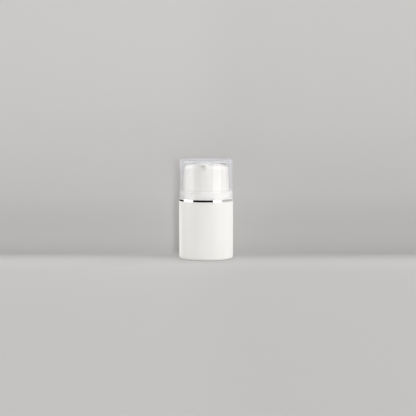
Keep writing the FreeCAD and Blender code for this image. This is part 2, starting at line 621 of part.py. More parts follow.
def make_return_spring(doc):
    """Compression spring between the lock ring and the stem flange, one unbroken wire."""
    sheet = doc.getObject("Sizes")
    radius = worth(sheet, "spring_radius")
    wire = worth(sheet, "wire_radius")
    coils = int(worth(sheet, "spring_coils"))
    end_pitch = worth(sheet, "spring_end_pitch")
    end_gap = worth(sheet, "spring_end_gap")
    bottom = worth(sheet, SPRING_SEAT) + end_gap + wire
    climb = worth(sheet, "spring_length") - 2 * (end_gap + wire)
    steps_per_turn = 4
    steps = coils * steps_per_turn
    points = []
    for step in range(steps + 1):
        angle = math.tau * step / steps_per_turn
        height = bottom + spring_height(step / steps_per_turn, coils, end_pitch, climb)
        points.append(FreeCAD.Vector(radius * math.cos(angle), radius * math.sin(angle), height))
    ways = []
    for step in range(steps + 1):
        angle = math.tau * step / steps_per_turn
        rise = (points[min(step + 1, steps)] - points[max(step - 1, 0)]).z
        run = math.tau / steps_per_turn * radius * (min(step + 1, steps) - max(step - 1, 0))
        ways.append(FreeCAD.Vector(-math.sin(angle), math.cos(angle), rise / run).normalize())
    edges = []
    for step in range(steps):
        edges += biarc(points[step], ways[step], points[step + 1], ways[step + 1])
    path = Part.Wire(edges)
    section = Part.Wire([Part.Circle(points[0], ways[0], wire).toShape()])
    coil = path.makePipeShell([section], True, False)
    gaps = [(points[step + steps_per_turn] - points[step]).Length - 2 * wire
            for step in range(steps + 1 - steps_per_turn)]
    print(f"spring: wire {path.Length:.1f} mm long, least gap between coils {min(gaps):.2f} mm")
    spring = doc.addObject("Part::Feature", "return_spring")
    spring.Label = "return_spring"
    spring.Shape = coil
    spring.Placement = FreeCAD.Placement()
    return spring


def make_pump_piston(doc):
    """Sleeve piston with a lip at each end. It slides a little on the rod and opens the ports."""
    body = new_body(doc, "pump_piston")
    lip = "(cylinder_bore - seal_gap)"
    waist = f"({lip} - piston_waist)"
    core = f"({PISTON_BORE} + piston_core_wall)"
    turned(body, "section", [
        (PISTON_BORE, PISTON_BOTTOM),
        (core, PISTON_BOTTOM),
        (core, f"{PISTON_BOTTOM} + piston_lip_groove"),
        (f"{waist} - piston_lip_wall", f"{PISTON_BOTTOM} + piston_lip_groove"),
        (f"{lip} - piston_lip_wall", PISTON_BOTTOM),
        (lip, PISTON_BOTTOM),
        (lip, f"{PISTON_BOTTOM} + piston_lip"),
        (waist, f"{PISTON_BOTTOM} + piston_lip_groove"),
        (waist, f"{PISTON_TOP} - piston_lip_groove"),
        (lip, f"{PISTON_TOP} - piston_lip"),
        (lip, PISTON_TOP),
        (f"{lip} - piston_lip_wall", PISTON_TOP),
        (f"{waist} - piston_lip_wall", f"{PISTON_TOP} - piston_lip_groove"),
        (core, f"{PISTON_TOP} - piston_lip_groove"),
        (core, PISTON_TOP),
        (PISTON_BORE, PISTON_TOP),
    ])
    return body


def make_piston_rod(doc):
    """Hollow rod whose head is the outlet valve. Two side ports lead into its channel."""
    body = new_body(doc, "piston_rod")
    port_height = f"({ROD_HEAD_TOP} + port_radius + seat_gap)"
    turned(body, "section", [
        ("0", f"{ROD_HEAD_TOP} - rod_head_height"),
        ("rod_head_radius", f"{ROD_HEAD_TOP} - rod_head_height"),
        ("rod_head_radius", f"{ROD_HEAD_TOP} - rod_head_height / 2"),
        ("(rod_head_radius + rod_radius) / 2", ROD_HEAD_TOP),
        ("rod_radius", ROD_HEAD_TOP),
        ("rod_radius", ROD_TOP),
        ("rod_bore", ROD_TOP),
        ("rod_bore", ROD_HEAD_TOP),
        ("0", ROD_HEAD_TOP),
    ])
    port = new_sketch(body, "port", "XZ_Plane")
    place = FreeCAD.Vector(0, worth(body, port_height), 0)
    port.addGeometry(Part.Circle(place, FreeCAD.Vector(0, 0, 1), worth(body, "port_radius")))
    pin(port, 0, 3, "0", port_height)
    hold_radius(port, 0, "port_radius")
    across_plane(body, "Pocket", port, "rod_radius * 2 + overrun")
    return body


def make_stem(doc):
    """Tube from the pump to the actuator, with the flange that the spring lifts."""
    body = new_body(doc, "stem")
    turned(body, "section", [
        (STEM_BORE, STEM_BOTTOM),
        ("stem_radius", STEM_BOTTOM),
        ("stem_radius", STEM_FLANGE),
        ("stem_flange_radius", STEM_FLANGE),
        ("stem_flange_radius", SOCKET_BOTTOM),
        ("stem_radius", SOCKET_BOTTOM),
        ("stem_radius", f"{STEM_TOP} - stem_chamfer"),
        ("stem_radius - stem_chamfer", STEM_TOP),
        ("stem_channel", STEM_TOP),
        ("stem_channel", f"{ROD_TOP} + seat_gap"),
        (STEM_BORE, f"{ROD_TOP} + seat_gap"),
    ])
    return body


def dome_sketch(body, name, dome, side, corner, bottom_radius, bottom):
    """Half of a domed form: dome, rounded corner, side wall, base and axis."""
    sketch = new_sketch(body, name, "XZ_Plane")
    upward = FreeCAD.Vector(0, 0, 1)
    centre = FreeCAD.Vector(0, worth(body, DOME_CENTRE), 0)
    radius = worth(body, dome)
    bend = worth(body, corner)
    apex = FreeCAD.Vector(0, centre.y + radius, 0)
    meeting = FreeCAD.Vector(worth(body, side), worth(body, shoulder_height(dome, side)), 0)
    base = FreeCAD.Vector(worth(body, bottom_radius), worth(body, bottom), 0)
    middle = FreeCAD.Vector(0, base.y, 0)
    along = (meeting - base).normalize()
    inset = base + upward.cross(along) * bend
    offset = (inset - centre).dot(along)
    rest = (inset - centre).dot(inset - centre) - (radius - bend) ** 2
    bend_centre = inset + along * (math.sqrt(offset * offset - rest) - offset)
    side_end = bend_centre - upward.cross(along) * bend
    dome_end = bend_centre + (bend_centre - centre).normalize() * bend
    dome_lean = math.atan2(dome_end.y - centre.y, dome_end.x)
    side_lean = math.atan2(side_end.y - bend_centre.y, side_end.x - bend_centre.x)
    sketch.addGeometry(Part.ArcOfCircle(Part.Circle(centre, upward, radius), dome_lean, math.pi / 2))
    sketch.addGeometry(Part.ArcOfCircle(Part.Circle(bend_centre, upward, bend), side_lean, dome_lean))
    sketch.addGeometry(Part.LineSegment(base, side_end))
    sketch.addGeometry(Part.LineSegment(middle, base))
    sketch.addGeometry(Part.LineSegment(apex, middle))
    tip = sketch.addGeometry(Part.Point(meeting), True)
    sketch.addConstraint(Sketcher.Constraint("Tangent", 0, 1, 1, 2))
    sketch.addConstraint(Sketcher.Constraint("Tangent", 1, 1, 2, 2))
    sketch.addConstraint(Sketcher.Constraint("Coincident", 3, 2, 2, 1))
    sketch.addConstraint(Sketcher.Constraint("Coincident", 4, 2, 3, 1))
    sketch.addConstraint(Sketcher.Constraint("Coincident", 0, 2, 4, 1))
    sketch.addConstraint(Sketcher.Constraint("PointOnObject", 4, 1, -2))
    sketch.addConstraint(Sketcher.Constraint("PointOnObject", tip, 1, 2))
    hold_radius(sketch, 0, dome)
    hold_radius(sketch, 1, corner)
    pin(sketch, 0, 3, "0", DOME_CENTRE)
    pin(sketch, 2, 1, bottom_radius, bottom)
    pin(sketch, 3, 1, "0", bottom)
    pin(sketch, tip, 1, side, shoulder_height(dome, side))
    return sketch


def shoulder_height(dome, side):
    """Where the dome meets the side wall."""
    return f"({DOME_CENTRE} + sqrt({dome} * {dome} - {side} * {side}))"


def make_actuator(doc):
    """Domed push button with its stem socket, ribs and nozzle boss. Its skirt runs in the collar."""
    body = new_body(doc, "actuator")
    outside = dome_sketch(body, "shell", "dome_radius", ACTUATOR_SIDE, "actuator_corner_radius",
                          ACTUATOR_SKIRT, ACTUATOR_BOTTOM)
    turn_about_axis(body, "Revolution", outside)
    inside = dome_sketch(body, "hollow", INNER_DOME_RADIUS, INNER_SIDE,
                         "(actuator_corner_radius - actuator_wall)",
                         f"({ACTUATOR_SKIRT} - actuator_wall)", f"({ACTUATOR_BOTTOM} - overrun)")
    turn_about_axis(body, "Groove", inside)
    roof = f"({DOME_TOP} - actuator_wall / 2)"
    turned(body, "socket", [
        ("0", SOCKET_BOTTOM),
        (SOCKET_OUTSIDE, SOCKET_BOTTOM),
        (SOCKET_OUTSIDE, roof),
        ("0", roof),
    ])
    shoulder = shoulder_height(INNER_DOME_RADIUS, INNER_SIDE)
    rib_start = f"({SOCKET_BORE} + socket_wall / 2)"
    rib_end = f"({INNER_SIDE} + actuator_wall / 3)"
    rib_bottom = f"({DOME_TOP} - actuator_wall - rib_height)"
    rib = outline(body, "rib", [
        (rib_start, rib_bottom),
        (f"{INNER_SIDE} - rib_height", rib_bottom),
        (rib_end, f"{shoulder} - actuator_corner_radius + actuator_wall / 2"),
        (rib_end, f"{shoulder} - actuator_corner_radius + actuator_wall"),
        (f"{INNER_SIDE} - actuator_corner_radius", f"{shoulder} + actuator_wall / 3"),
        (rib_start, roof),
    ])
    repeat_round(body, across_plane(body, "Pad", rib, "rib_width"), "actuator_ribs")
    boss = boss_sketch(body)
    pull = body.newObject("PartDesign::Pad", "actuator_boss_pulled")
    pull.Profile = boss
    pull.setExpression("Length", bound(BOSS_FACE))
    round_front(body)
    turned_cut(body, "stem_seat", [
        ("0", f"{SOCKET_BOTTOM} - overrun"),
        (SOCKET_BORE, f"{SOCKET_BOTTOM} - overrun"),
        (SOCKET_BORE, f"{STEM_TOP} + seat_gap"),
        ("stem_channel", f"{STEM_TOP} + seat_gap"),
        ("stem_channel", NOZZLE),
        ("0", NOZZLE),
    ])
    bore_nozzle(body, "duct", "duct_radius", "0", f"{BOSS_FACE} + overrun")
    seat = f"({BOSS_FACE} - insert_recess - insert_length - seat_gap)"
    bore_nozzle(body, "insert_seat", "insert_radius + seat_gap", seat, f"{BOSS_FACE} - {seat} + overrun")
    return body


def boss_sketch(body):
    """Section of the nozzle boss: a circle cut flat under the top of the dome, with rounded edges."""
    sketch = new_sketch(body, "boss", "XZ_Plane")
    top = f"({DOME_TOP} - boss_top_drop)"
    centre = FreeCAD.Vector(0, worth(body, NOZZLE), 0)
    radius = worth(body, "boss_radius")
    edge = worth(body, "boss_side_round")
    flat = worth(body, top)
    edge_up = flat - edge
    edge_across = math.sqrt((radius - edge) ** 2 - (edge_up - centre.y) ** 2)
    outward = FreeCAD.Vector(0, 0, 1)
    around = Part.Circle(centre, outward, radius)
    right = Part.Circle(FreeCAD.Vector(edge_across, edge_up, 0), outward, edge)
    left = Part.Circle(FreeCAD.Vector(-edge_across, edge_up, 0), outward, edge)
    flat_start = FreeCAD.Vector(edge_across, flat, 0)
    flat_end = FreeCAD.Vector(-edge_across, flat, 0)
    lean = math.atan2(edge_up - centre.y, edge_across)
    sketch.addGeometry(Part.ArcOfCircle(around, math.pi - lean, math.tau + lean))
    sketch.addGeometry(Part.ArcOfCircle(right, lean, math.pi / 2))
    sketch.addGeometry(Part.LineSegment(flat_start, flat_end))
    sketch.addGeometry(Part.ArcOfCircle(left, math.pi / 2, math.pi - lean))
    for first, second in ((0, 1), (1, 2), (2, 3), (3, 0)):
        sketch.addConstraint(Sketcher.Constraint("Tangent", first, 2, second, 1))
    sketch.addConstraint(Sketcher.Constraint("Horizontal", 2))
    hold_radius(sketch, 0, "boss_radius")
    hold_radius(sketch, 1, "boss_side_round")
    hold_radius(sketch, 3, "boss_side_round")
    pin(sketch, 0, 3, "0", NOZZLE)
    held = sketch.addConstraint(Sketcher.Constraint("DistanceY", -1, 1, 2, 1, flat))
    sketch.setExpression(f"Constraints[{held}]", bound(top))
    return sketch


def round_front(body):
    """Round the front edge of the nozzle boss."""
    base = body.Tip
    body.Document.recompute()
    face = -worth(body, BOSS_FACE)
    chosen = []
    for number, edge in enumerate(base.Shape.Edges, start=1):
        box = edge.BoundBox
        if abs(box.YMin - face) < SAME_PLACE and abs(box.YMax - face) < SAME_PLACE:
            chosen.append(f"Edge{number}")
    feature = body.newObject("PartDesign::Fillet", "actuator_boss_front")
    feature.Base = (base, chosen)
    feature.setExpression("Radius", bound("boss_edge_round"))
    return feature


def bore_nozzle(body, name, radius, start, length):
    """A round hole along the nozzle's axis, from a place between the stem and the front."""
    sketch = new_sketch(body, name, "XZ_Plane", start)
    place = FreeCAD.Vector(0, worth(body, NOZZLE), 0)
    sketch.addGeometry(Part.Circle(place, FreeCAD.Vector(0, 0, 1), worth(body, radius)))
    pin(sketch, 0, 3, "0", NOZZLE)
    hold_radius(sketch, 0, radius)
    hole = body.newObject("PartDesign::Pocket", f"{sketch.Name}_pulled")
    hole.Profile = sketch
    hole.Reversed = True
    hole.setExpression("Length", bound(length))
    return hole


def make_nozzle_insert(doc):
    """Outlet cup pushed into the boss, drawn about its own axis and laid along the nozzle."""
    body = new_body(doc, "nozzle_insert")
    turned(body, "section", [
        ("orifice_radius", "0"),
        ("insert_radius", "0"),
        ("insert_radius", "insert_length"),
        ("insert_cup_radius", "insert_length"),
        ("insert_cup_radius", "insert_length - insert_cup_depth"),
        ("orifice_radius", "insert_length - insert_cup_depth"),
    ])
    body.Placement = FreeCAD.Placement(FreeCAD.Vector(), FreeCAD.Rotation(FreeCAD.Vector(1, 0, 0), 90))
    body.setExpression("Placement.Base.y", bound(f"0 - {BOSS_FACE} + insert_recess + insert_length"))
    body.setExpression("Placement.Base.z", bound(NOZZLE))
    return body


def make_follower_piston(doc):
    """Follower piston under the cream. It has a wiping lip at each end and a well for the pump."""
    body = new_body(doc, "follower_piston")
    waist = f"({FOLLOWER_OUTSIDE} - follower_waist)"
    inside = f"({waist} - follower_wall)"
    lip_inside = f"({FOLLOWER_OUTSIDE} - follower_wall / 2)"
    crown_bottom = f"({CROWN_TOP} - follower_wall)"
    well_outside = f"({WELL_BORE} + well_wall)"
    crown_inside = f"({CROWN_EDGE} - follower_wall)"
    groove_bottom = f"({LIP_TOP} - follower_lip_groove)"
    turned(body, "section", [
        ("0", FOLLOWER_BOTTOM),
        (well_outside, FOLLOWER_BOTTOM),
        (well_outside, crown_bottom),
        (f"{crown_inside} - follower_wall / 2", crown_bottom),
        (crown_inside, f"{crown_bottom} - follower_wall / 2"),
        (crown_inside, f"{groove_bottom} - follower_wall / 2"),
        (inside, f"{groove_bottom} - follower_wall * 3 / 2"),
        (inside, f"{FOLLOWER_BOTTOM} + follower_lip_flare"),
        (f"{FOLLOWER_OUTSIDE} - floor_bevel * 3 / 2", FOLLOWER_BOTTOM),
        (f"{FOLLOWER_OUTSIDE} - floor_bevel", FOLLOWER_BOTTOM),
        (FOLLOWER_OUTSIDE, f"{FOLLOWER_BOTTOM} + floor_bevel"),
        (FOLLOWER_OUTSIDE, f"{FOLLOWER_BOTTOM} + floor_bevel + follower_lip"),
        (waist, f"{FOLLOWER_BOTTOM} + follower_lip_flare"),
        (waist, f"{LIP_TOP} - follower_lip_flare"),
        (FOLLOWER_OUTSIDE, f"{LIP_TOP} - follower_lip"),
        (FOLLOWER_OUTSIDE, LIP_TOP),
        (lip_inside, LIP_TOP),
        (CROWN_EDGE, groove_bottom),
        (CROWN_EDGE, f"{CROWN_TOP} - follower_wall / 2"),
        (f"{CROWN_EDGE} - follower_wall / 2", CROWN_TOP),
        (f"{WELL_BORE} + follower_wall / 3", CROWN_TOP),
        (WELL_BORE, f"{CROWN_TOP} - follower_wall / 3"),
        (WELL_BORE, f"{FOLLOWER_BOTTOM} + follower_wall"),
        ("0", f"{FOLLOWER_BOTTOM} + follower_wall"),
    ])
    return body


def make_cap(doc):
    """Clear over-cap that clips over the collar and stands on the trim ring."""
    body = new_body(doc, "cap")
    top_outside = f"({CAP_RADIUS} - cap_draft)"
    top_inside = f"({top_outside} - cap_wall)"
    mouth = f"({RING_BEAD} + cap_mouth_gap)"
    mouth_top = f"({CAP_BOTTOM} + cap_mouth_height)"
    turned(body, "section", [
        (mouth, CAP_BOTTOM),
        (f"{CAP_RADIUS} - cap_edge_bevel", CAP_BOTTOM),
        (CAP_RADIUS, f"{CAP_BOTTOM} + cap_edge_bevel"),
        (top_outside, CAP_TOP, "cap_corner_radius"),
        ("0", CAP_TOP),
        ("0", CAP_CEILING),
        (top_inside, CAP_CEILING, "cap_inner_round"),
        (CAP_BORE, f"{mouth_top} + {mouth} - {CAP_BORE}"),
        (mouth, mouth_top),
    ])
    return body


def check_and_write(doc, pieces):
    """Stop if anything failed, then write one file for each piece."""
    doc.recompute()
    for item in doc.Objects:
        if "Invalid" in item.State or "Error" in item.State:
            raise RuntimeError(f"{item.Name} failed: {item.State}")
    for piece in pieces:
        shape = piece.Shape
        if shape.isNull() or not shape.isValid() or len(shape.Solids) != 1:
            raise RuntimeError(f"{piece.Label} has no sound single solid")
        print(f"{piece.Label}: {shape.Volume:.1f} cubic mm")
    os.makedirs("parts", exist_ok=True)
    for piece in pieces:
        piece.Shape.exportStep(f"parts/{piece.Label}.step")


def build():
    doc = FreeCAD.newDocument("airless_pump_bottle")
    fill_sheet(doc)
    makers = [
        make_bottle, make_trim_ring, make_collar, make_pump_carrier, make_pump_gasket,
        make_pump_cylinder, make_inlet_ball, make_lock_ring, make_return_spring, make_pump_piston,
        make_piston_rod, make_stem, make_actuator, make_nozzle_insert, make_follower_piston, make_cap,
    ]
    check_and_write(doc, [make(doc) for make in makers])


build()
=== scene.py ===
import json
import math

import bpy
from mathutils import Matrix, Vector


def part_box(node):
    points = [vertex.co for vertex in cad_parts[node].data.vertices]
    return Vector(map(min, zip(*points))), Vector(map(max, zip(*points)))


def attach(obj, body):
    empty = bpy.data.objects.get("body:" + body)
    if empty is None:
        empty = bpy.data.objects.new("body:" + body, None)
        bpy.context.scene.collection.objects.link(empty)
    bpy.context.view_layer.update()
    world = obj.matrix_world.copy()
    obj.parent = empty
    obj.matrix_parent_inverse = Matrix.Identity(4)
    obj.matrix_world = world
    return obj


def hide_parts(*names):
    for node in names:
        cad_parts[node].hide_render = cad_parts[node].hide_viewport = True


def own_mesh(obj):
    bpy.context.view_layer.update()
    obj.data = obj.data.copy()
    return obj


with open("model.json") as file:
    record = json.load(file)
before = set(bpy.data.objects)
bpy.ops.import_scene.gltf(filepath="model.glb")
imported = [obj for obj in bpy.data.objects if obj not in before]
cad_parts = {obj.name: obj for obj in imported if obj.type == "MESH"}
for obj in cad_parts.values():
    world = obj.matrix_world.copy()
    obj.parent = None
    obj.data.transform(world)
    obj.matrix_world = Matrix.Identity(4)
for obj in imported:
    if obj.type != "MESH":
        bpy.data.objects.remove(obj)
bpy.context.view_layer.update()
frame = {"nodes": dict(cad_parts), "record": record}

# The photograph's camera, worked out from the ellipses of the foot and the ring.
# Places are in metres from the middle of the foot, and the sensor is in millimetres.
IMAGE_WIDTH = 416
FOCAL_PIXELS = 1219.0
SENSOR = 36.0
VIEW_AZIMUTH = math.radians(7.8)
CAMERA_DISTANCE = 0.900
CAMERA_HEIGHT = 0.1075
AIM_ACROSS = 0.0014
AIM_HEIGHT = 0.03705

TOWARDS_CAMERA = Vector((math.sin(VIEW_AZIMUTH), -math.cos(VIEW_AZIMUTH), 0.0))
TO_THE_RIGHT = Vector((math.cos(VIEW_AZIMUTH), math.sin(VIEW_AZIMUTH), 0.0))
UP = Vector((0.0, 0.0, 1.0))

# The stage: a wall close behind the bottle, with a small cove down to the floor.
WALL_BEHIND = 0.026
COVE_RADIUS = 0.004
COVE_STEPS = 8
STAGE_REACH = 1.6

# The stage's paint. A tone is a place and the grey there: towards the camera on the floor, up on the wall.
# The tones are painted shade: the wall darkens down towards the cove, and the floor darkens back towards it.
# Its green is WARMTH times its red, and its blue WARMTH times its green. A painted shade dims it to
# RIGHT_TONE from RIGHT_REACH left of the bottle's axis to RIGHT_REACH right of it.
FLOOR_TONES = [(-WALL_BEHIND, 0.490), (-0.014, 0.495), (0.020, 0.680), (0.080, 0.595), (0.300, 0.590)]
WALL_TONES = [(0.0, 0.620), (0.012, 0.680), (0.026, 0.655), (0.045, 0.713), (0.110, 0.810), (0.190, 0.850)]
WARMTH = 0.988
RIGHT_TONE = 0.96
RIGHT_REACH = 0.03
SHADOWLESS_SHARE = 0.2

# The milky parts of the clear cap, as shares of haze. The haze of the band that grips the collar comes
# in from above the collar's top to below it.
EDGE_ON_HAZE = 0.75
EDGE_ON_HAZE_IN_MIRRORS = 0.5
# The haze on the cap's rounded edges is a painted highlight along them.
ROUNDED_EDGE_HIGHLIGHT_HAZE = 0.6
GRIP_HAZE = 0.3
GRIP_FADE_ABOVE = 0.0010
GRIP_FADE_BELOW = 0.0013
HAZE_COLOUR = (0.85, 0.86, 0.91)
GRIP_COLOUR = (0.88, 0.88, 0.88)

# How clear the cap is to the light of the lamps, where that crosses it straight and where it slants.
SHADOW_CLEARNESS = 0.985
SHADOW_CLEARNESS_EDGE_ON = 0.20

# Most of a noise lies between these, so a tint runs its whole way there.
NOISE_LOW = 0.3
NOISE_HIGH = 0.7

LAMP_WHITE = (1.0, 0.99, 0.975, 1.0)
BACKDROP_WHITE = (0.76, 0.752, 0.744, 1.0)
ROOM_STRENGTH = 0.32
CARD_STEPS = 12


def seen_from(angle, distance, height):
    """A place at an angle, in degrees, to the right of the camera, as seen from the bottle's axis."""
    turn = math.radians(angle)
    across = TOWARDS_CAMERA * math.cos(turn) + TO_THE_RIGHT * math.sin(turn)
    return across * distance + UP * height


def add_object(name, data):
    """A new object in the scene."""
    thing = bpy.data.objects.new(name, data)
    bpy.context.scene.collection.objects.link(thing)
    return thing


def turn_to_face(thing, aim):
    """Turn the camera or a lamp towards a place."""
    thing.rotation_mode = "QUATERNION"
    thing.rotation_quaternion = (aim - thing.location).to_track_quat("-Z", "Y")


def add_camera():
    """The camera of the photograph."""
    data = bpy.data.cameras.new("camera")
    data.sensor_width = SENSOR
    data.lens = SENSOR * FOCAL_PIXELS / IMAGE_WIDTH
    camera = add_object("camera", data)
    camera.location = seen_from(0.0, CAMERA_DISTANCE, CAMERA_HEIGHT)
    turn_to_face(camera, TO_THE_RIGHT * AIM_ACROSS + UP * AIM_HEIGHT)
    bpy.context.scene.camera = camera


# Helpers that add nodes.


def new_material(name):
    """A material with nothing but its output, and its node tree."""
    material = bpy.data.materials.new(name)
    material.use_nodes = True
    tree = material.node_tree
    tree.nodes.clear()
    tree.nodes.new("ShaderNodeOutputMaterial")
    return material, tree


def add(tree, kind, values=None, **settings):
    """A node with its settings, and its inputs set from plain values or linked from sockets."""
    node = tree.nodes.new(kind)
    for name, setting in settings.items():
        setattr(node, name, setting)
    for name, value in (values or {}).items():
        if isinstance(value, bpy.types.NodeSocket):
            tree.links.new(value, node.inputs[name])
        else:
            node.inputs[name].default_value = value
    return node


def finish_material(tree, shader):
    """Lead a shader to the material's output."""
    output = next(node for node in tree.nodes if node.type == "OUTPUT_MATERIAL")
    tree.links.new(shader, output.inputs["Surface"])


def finish_principled(material, tree, values):
    """Finish a material with one Principled shader."""
    finish_material(tree, add(tree, "ShaderNodeBsdfPrincipled", values).outputs["BSDF"])
    return material


def object_place(tree):
    """The place on the piece, which moves with it."""
    return add(tree, "ShaderNodeTexCoord").outputs["Object"]


def along(tree, direction, kind="Object"):
    """How far the place, or another texture coordinate, reaches along a direction."""
    where = add(tree, "ShaderNodeTexCoord").outputs[kind]
    node = add(tree, "ShaderNodeVectorMath", {0: where, 1: direction}, operation="DOT_PRODUCT")
    return node.outputs["Value"]


def maths(tree, operation, *numbers, **settings):
    """One step of arithmetic."""
    node = add(tree, "ShaderNodeMath", dict(enumerate(numbers)), operation=operation, **settings)
    return node.outputs["Value"]


def noise(tree, scale, detail=2.0, stretch=None):
    """Noise by place on the piece. Its scale is in features for each metre."""
    where = object_place(tree)
    if stretch:
        where = add(tree, "ShaderNodeMapping", {"Vector": where, "Scale": stretch}).outputs["Vector"]
    return add(tree, "ShaderNodeTexNoise", {"Vector": where, "Scale": scale, "Detail": detail}).outputs["Fac"]


def between(tree, factor, low, high, start=0.0, end=1.0, **settings):
    """A number that runs from low to high as the factor runs from start to end."""
    node = add(tree, "ShaderNodeMapRange", {
        "Value": factor, "From Min": start, "From Max": end, "To Min": low, "To Max": high,
    }, **settings)
    return node.outputs["Result"]


def tint(tree, factor, first, second):
    """A colour that runs from the first to the second over most of a noise."""
    ramp = add(tree, "ShaderNodeValToRGB", {"Fac": factor})
    ramp.color_ramp.elements[0].position = NOISE_LOW
    ramp.color_ramp.elements[1].position = NOISE_HIGH
    ramp.color_ramp.elements[0].color = (*first, 1.0)
    ramp.color_ramp.elements[1].color = (*second, 1.0)
    return ramp.outputs["Color"]


def bump(tree, height, depth, below=None):
    """The normal of a surface that rises by the depth, in metres, on top of the bump below."""
    values = {"Height": height, "Distance": depth, "Strength": 1.0}
    if below:
        values["Normal"] = below
    return add(tree, "ShaderNodeBump", values).outputs["Normal"]


def mix_shaders(tree, share, first, second):
    """The first shader, giving way to the second as the share goes from 0 to 1."""
    mixed = add(tree, "ShaderNodeMixShader", {"Fac": share})
    tree.links.new(first, mixed.inputs[1])
    tree.links.new(second, mixed.inputs[2])
    return mixed.outputs["Shader"]


def moulded_skin(tree, depth):
    """The slight unevenness of a moulded surface, with a fine grain on it a quarter as deep."""
    ripple = bump(tree, noise(tree, 260.0), depth)
    return bump(tree, noise(tree, 2600.0, detail=4.0), depth / 4, below=ripple)


# Materials of the bottle.


def white_plastic():
    """Warm white polypropylene with a soft gloss and faint flow shading."""
    material, tree = new_material("white_pp_moulded")
    flow = noise(tree, 90.0, detail=3.0, stretch=(1.0, 1.0, 0.25))
    return finish_principled(material, tree, {
        "Base Color": tint(tree, flow, (0.835, 0.823, 0.80), (0.86, 0.849, 0.828)),
        "Roughness": between(tree, noise(tree, 700.0, detail=4.0), 0.26, 0.36),
        "IOR": 1.49,
        "Subsurface Weight": 0.12,
        "Subsurface Radius": (1.0, 0.9, 0.75),
        "Subsurface Scale": 0.0012,
        "Normal": moulded_skin(tree, depth=0.00002),
    })


def cap_haze(tree, slant, seen_directly):
    """How milky the cap is, and in what colour.

    It is milky where it is seen edge-on and in the band that grips the collar. On its rounded edges the
    haze is a painted highlight along them.
    """
    most = between(tree, seen_directly, EDGE_ON_HAZE_IN_MIRRORS, EDGE_ON_HAZE)
    edge_on = between(tree, slant, 0.0, most, start=0.3, end=0.95)
    # Haze on the rounded edges, where the normal is neither level nor upright: a painted highlight.
    rise = maths(tree, "ABSOLUTE", along(tree, UP, "Normal"))
    off_the_side = between(tree, rise, 0.0, ROUNDED_EDGE_HIGHLIGHT_HAZE, start=0.1, end=0.4)
    off_the_top = between(tree, rise, 1.0, 0.0, start=0.85, end=0.98)
    rounded = maths(tree, "MULTIPLY", off_the_side, off_the_top)
    collar_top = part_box("collar")[1].z
    grip = between(tree, along(tree, UP), 0.0, 1.0,
                   start=collar_top + GRIP_FADE_ABOVE, end=collar_top - GRIP_FADE_BELOW)
    haze = maths(tree, "ADD", maths(tree, "MAXIMUM", edge_on, rounded), between(tree, grip, 0.0, GRIP_HAZE),
                 use_clamp=True)
    return haze, tint(tree, between(tree, grip, NOISE_LOW, NOISE_HIGH), HAZE_COLOUR, GRIP_COLOUR)


def clear_plastic():
    """Water-clear cap: polished, with slight mould ripple and fine handling marks.

    Lamps reach through it by shadow rays, which dim where they cross the cap at a slant.
    """
    material, tree = new_material("clear_cap_polished")
    marks = noise(tree, 900.0, detail=6.0, stretch=(1.0, 1.0, 0.2))
    polished = add(tree, "ShaderNodeBsdfPrincipled", {
        "Base Color": tint(tree, noise(tree, 60.0), (0.99, 0.99, 0.993), (0.998, 0.998, 0.998)),
        "Roughness": between(tree, marks, 0.01, 0.05),
        "IOR": 1.56,
        "Transmission Weight": 1.0,
        "Normal": bump(tree, noise(tree, 160.0), depth=0.000006),
    })
    slant = add(tree, "ShaderNodeLayerWeight", {"Blend": 0.5}).outputs["Facing"]
    path = add(tree, "ShaderNodeLightPath")
    haze, colour = cap_haze(tree, slant, path.outputs["Is Camera Ray"])
    lit_side = add(tree, "ShaderNodeBsdfDiffuse", {"Color": colour})
    far_side = add(tree, "ShaderNodeBsdfTranslucent", {"Color": colour})
    milky = mix_shaders(tree, 0.5, lit_side.outputs["BSDF"], far_side.outputs["BSDF"])
    body = mix_shaders(tree, haze, polished.outputs["BSDF"], milky)
    clearness = between(tree, slant, SHADOW_CLEARNESS, SHADOW_CLEARNESS_EDGE_ON, start=0.56)
    through = add(tree, "ShaderNodeBsdfTransparent", {"Color": clearness})
    finish_material(tree, mix_shaders(tree, path.outputs["Is Shadow Ray"], body, through.outputs["BSDF"]))
    return material


def bright_plating():
    """Silver plating on a turned ring: near mirror, with faint lines round it."""
    material, tree = new_material("bright_plating_polished")
    lines = noise(tree, 120.0, detail=4.0, stretch=(1.0, 1.0, 60.0))
    return finish_principled(material, tree, {
        "Base Color": tint(tree, noise(tree, 300.0), (0.80, 0.80, 0.805), (0.86, 0.86, 0.86)),
        "Metallic": 1.0,
        "Roughness": between(tree, lines, 0.02, 0.06),
        "Normal": bump(tree, lines, depth=0.000002),
    })


def milky_plastic():
    """Natural polypropylene of the pump parts: milky, with swirls."""
    material, tree = new_material("natural_pp_milky")
    swirl = noise(tree, 350.0, detail=5.0, stretch=(1.0, 1.0, 0.4))
    return finish_principled(material, tree, {
        "Base Color": tint(tree, swirl, (0.78, 0.78, 0.75), (0.84, 0.84, 0.82)),
        "Roughness": between(tree, noise(tree, 1500.0, detail=4.0), 0.32, 0.46),
        "IOR": 1.49,
        "Subsurface Weight": 0.35,
        "Subsurface Radius": (1.0, 0.95, 0.85),
        "Subsurface Scale": 0.0015,
        "Normal": moulded_skin(tree, depth=0.00002),
    })


def waxy_plastic():
    """Natural polyethylene of the pistons: softer and waxier."""
    material, tree = new_material("natural_pe_waxy")
    cloud = noise(tree, 500.0, detail=4.0)
    return finish_principled(material, tree, {
        "Base Color": tint(tree, cloud, (0.82, 0.82, 0.80), (0.88, 0.88, 0.865)),
        "Roughness": between(tree, noise(tree, 1800.0, detail=3.0), 0.42, 0.58),
        "IOR": 1.51,
        "Subsurface Weight": 0.4,
        "Subsurface Radius": (1.0, 0.97, 0.9),
        "Subsurface Scale": 0.0015,
        "Normal": moulded_skin(tree, depth=0.00003),
    })


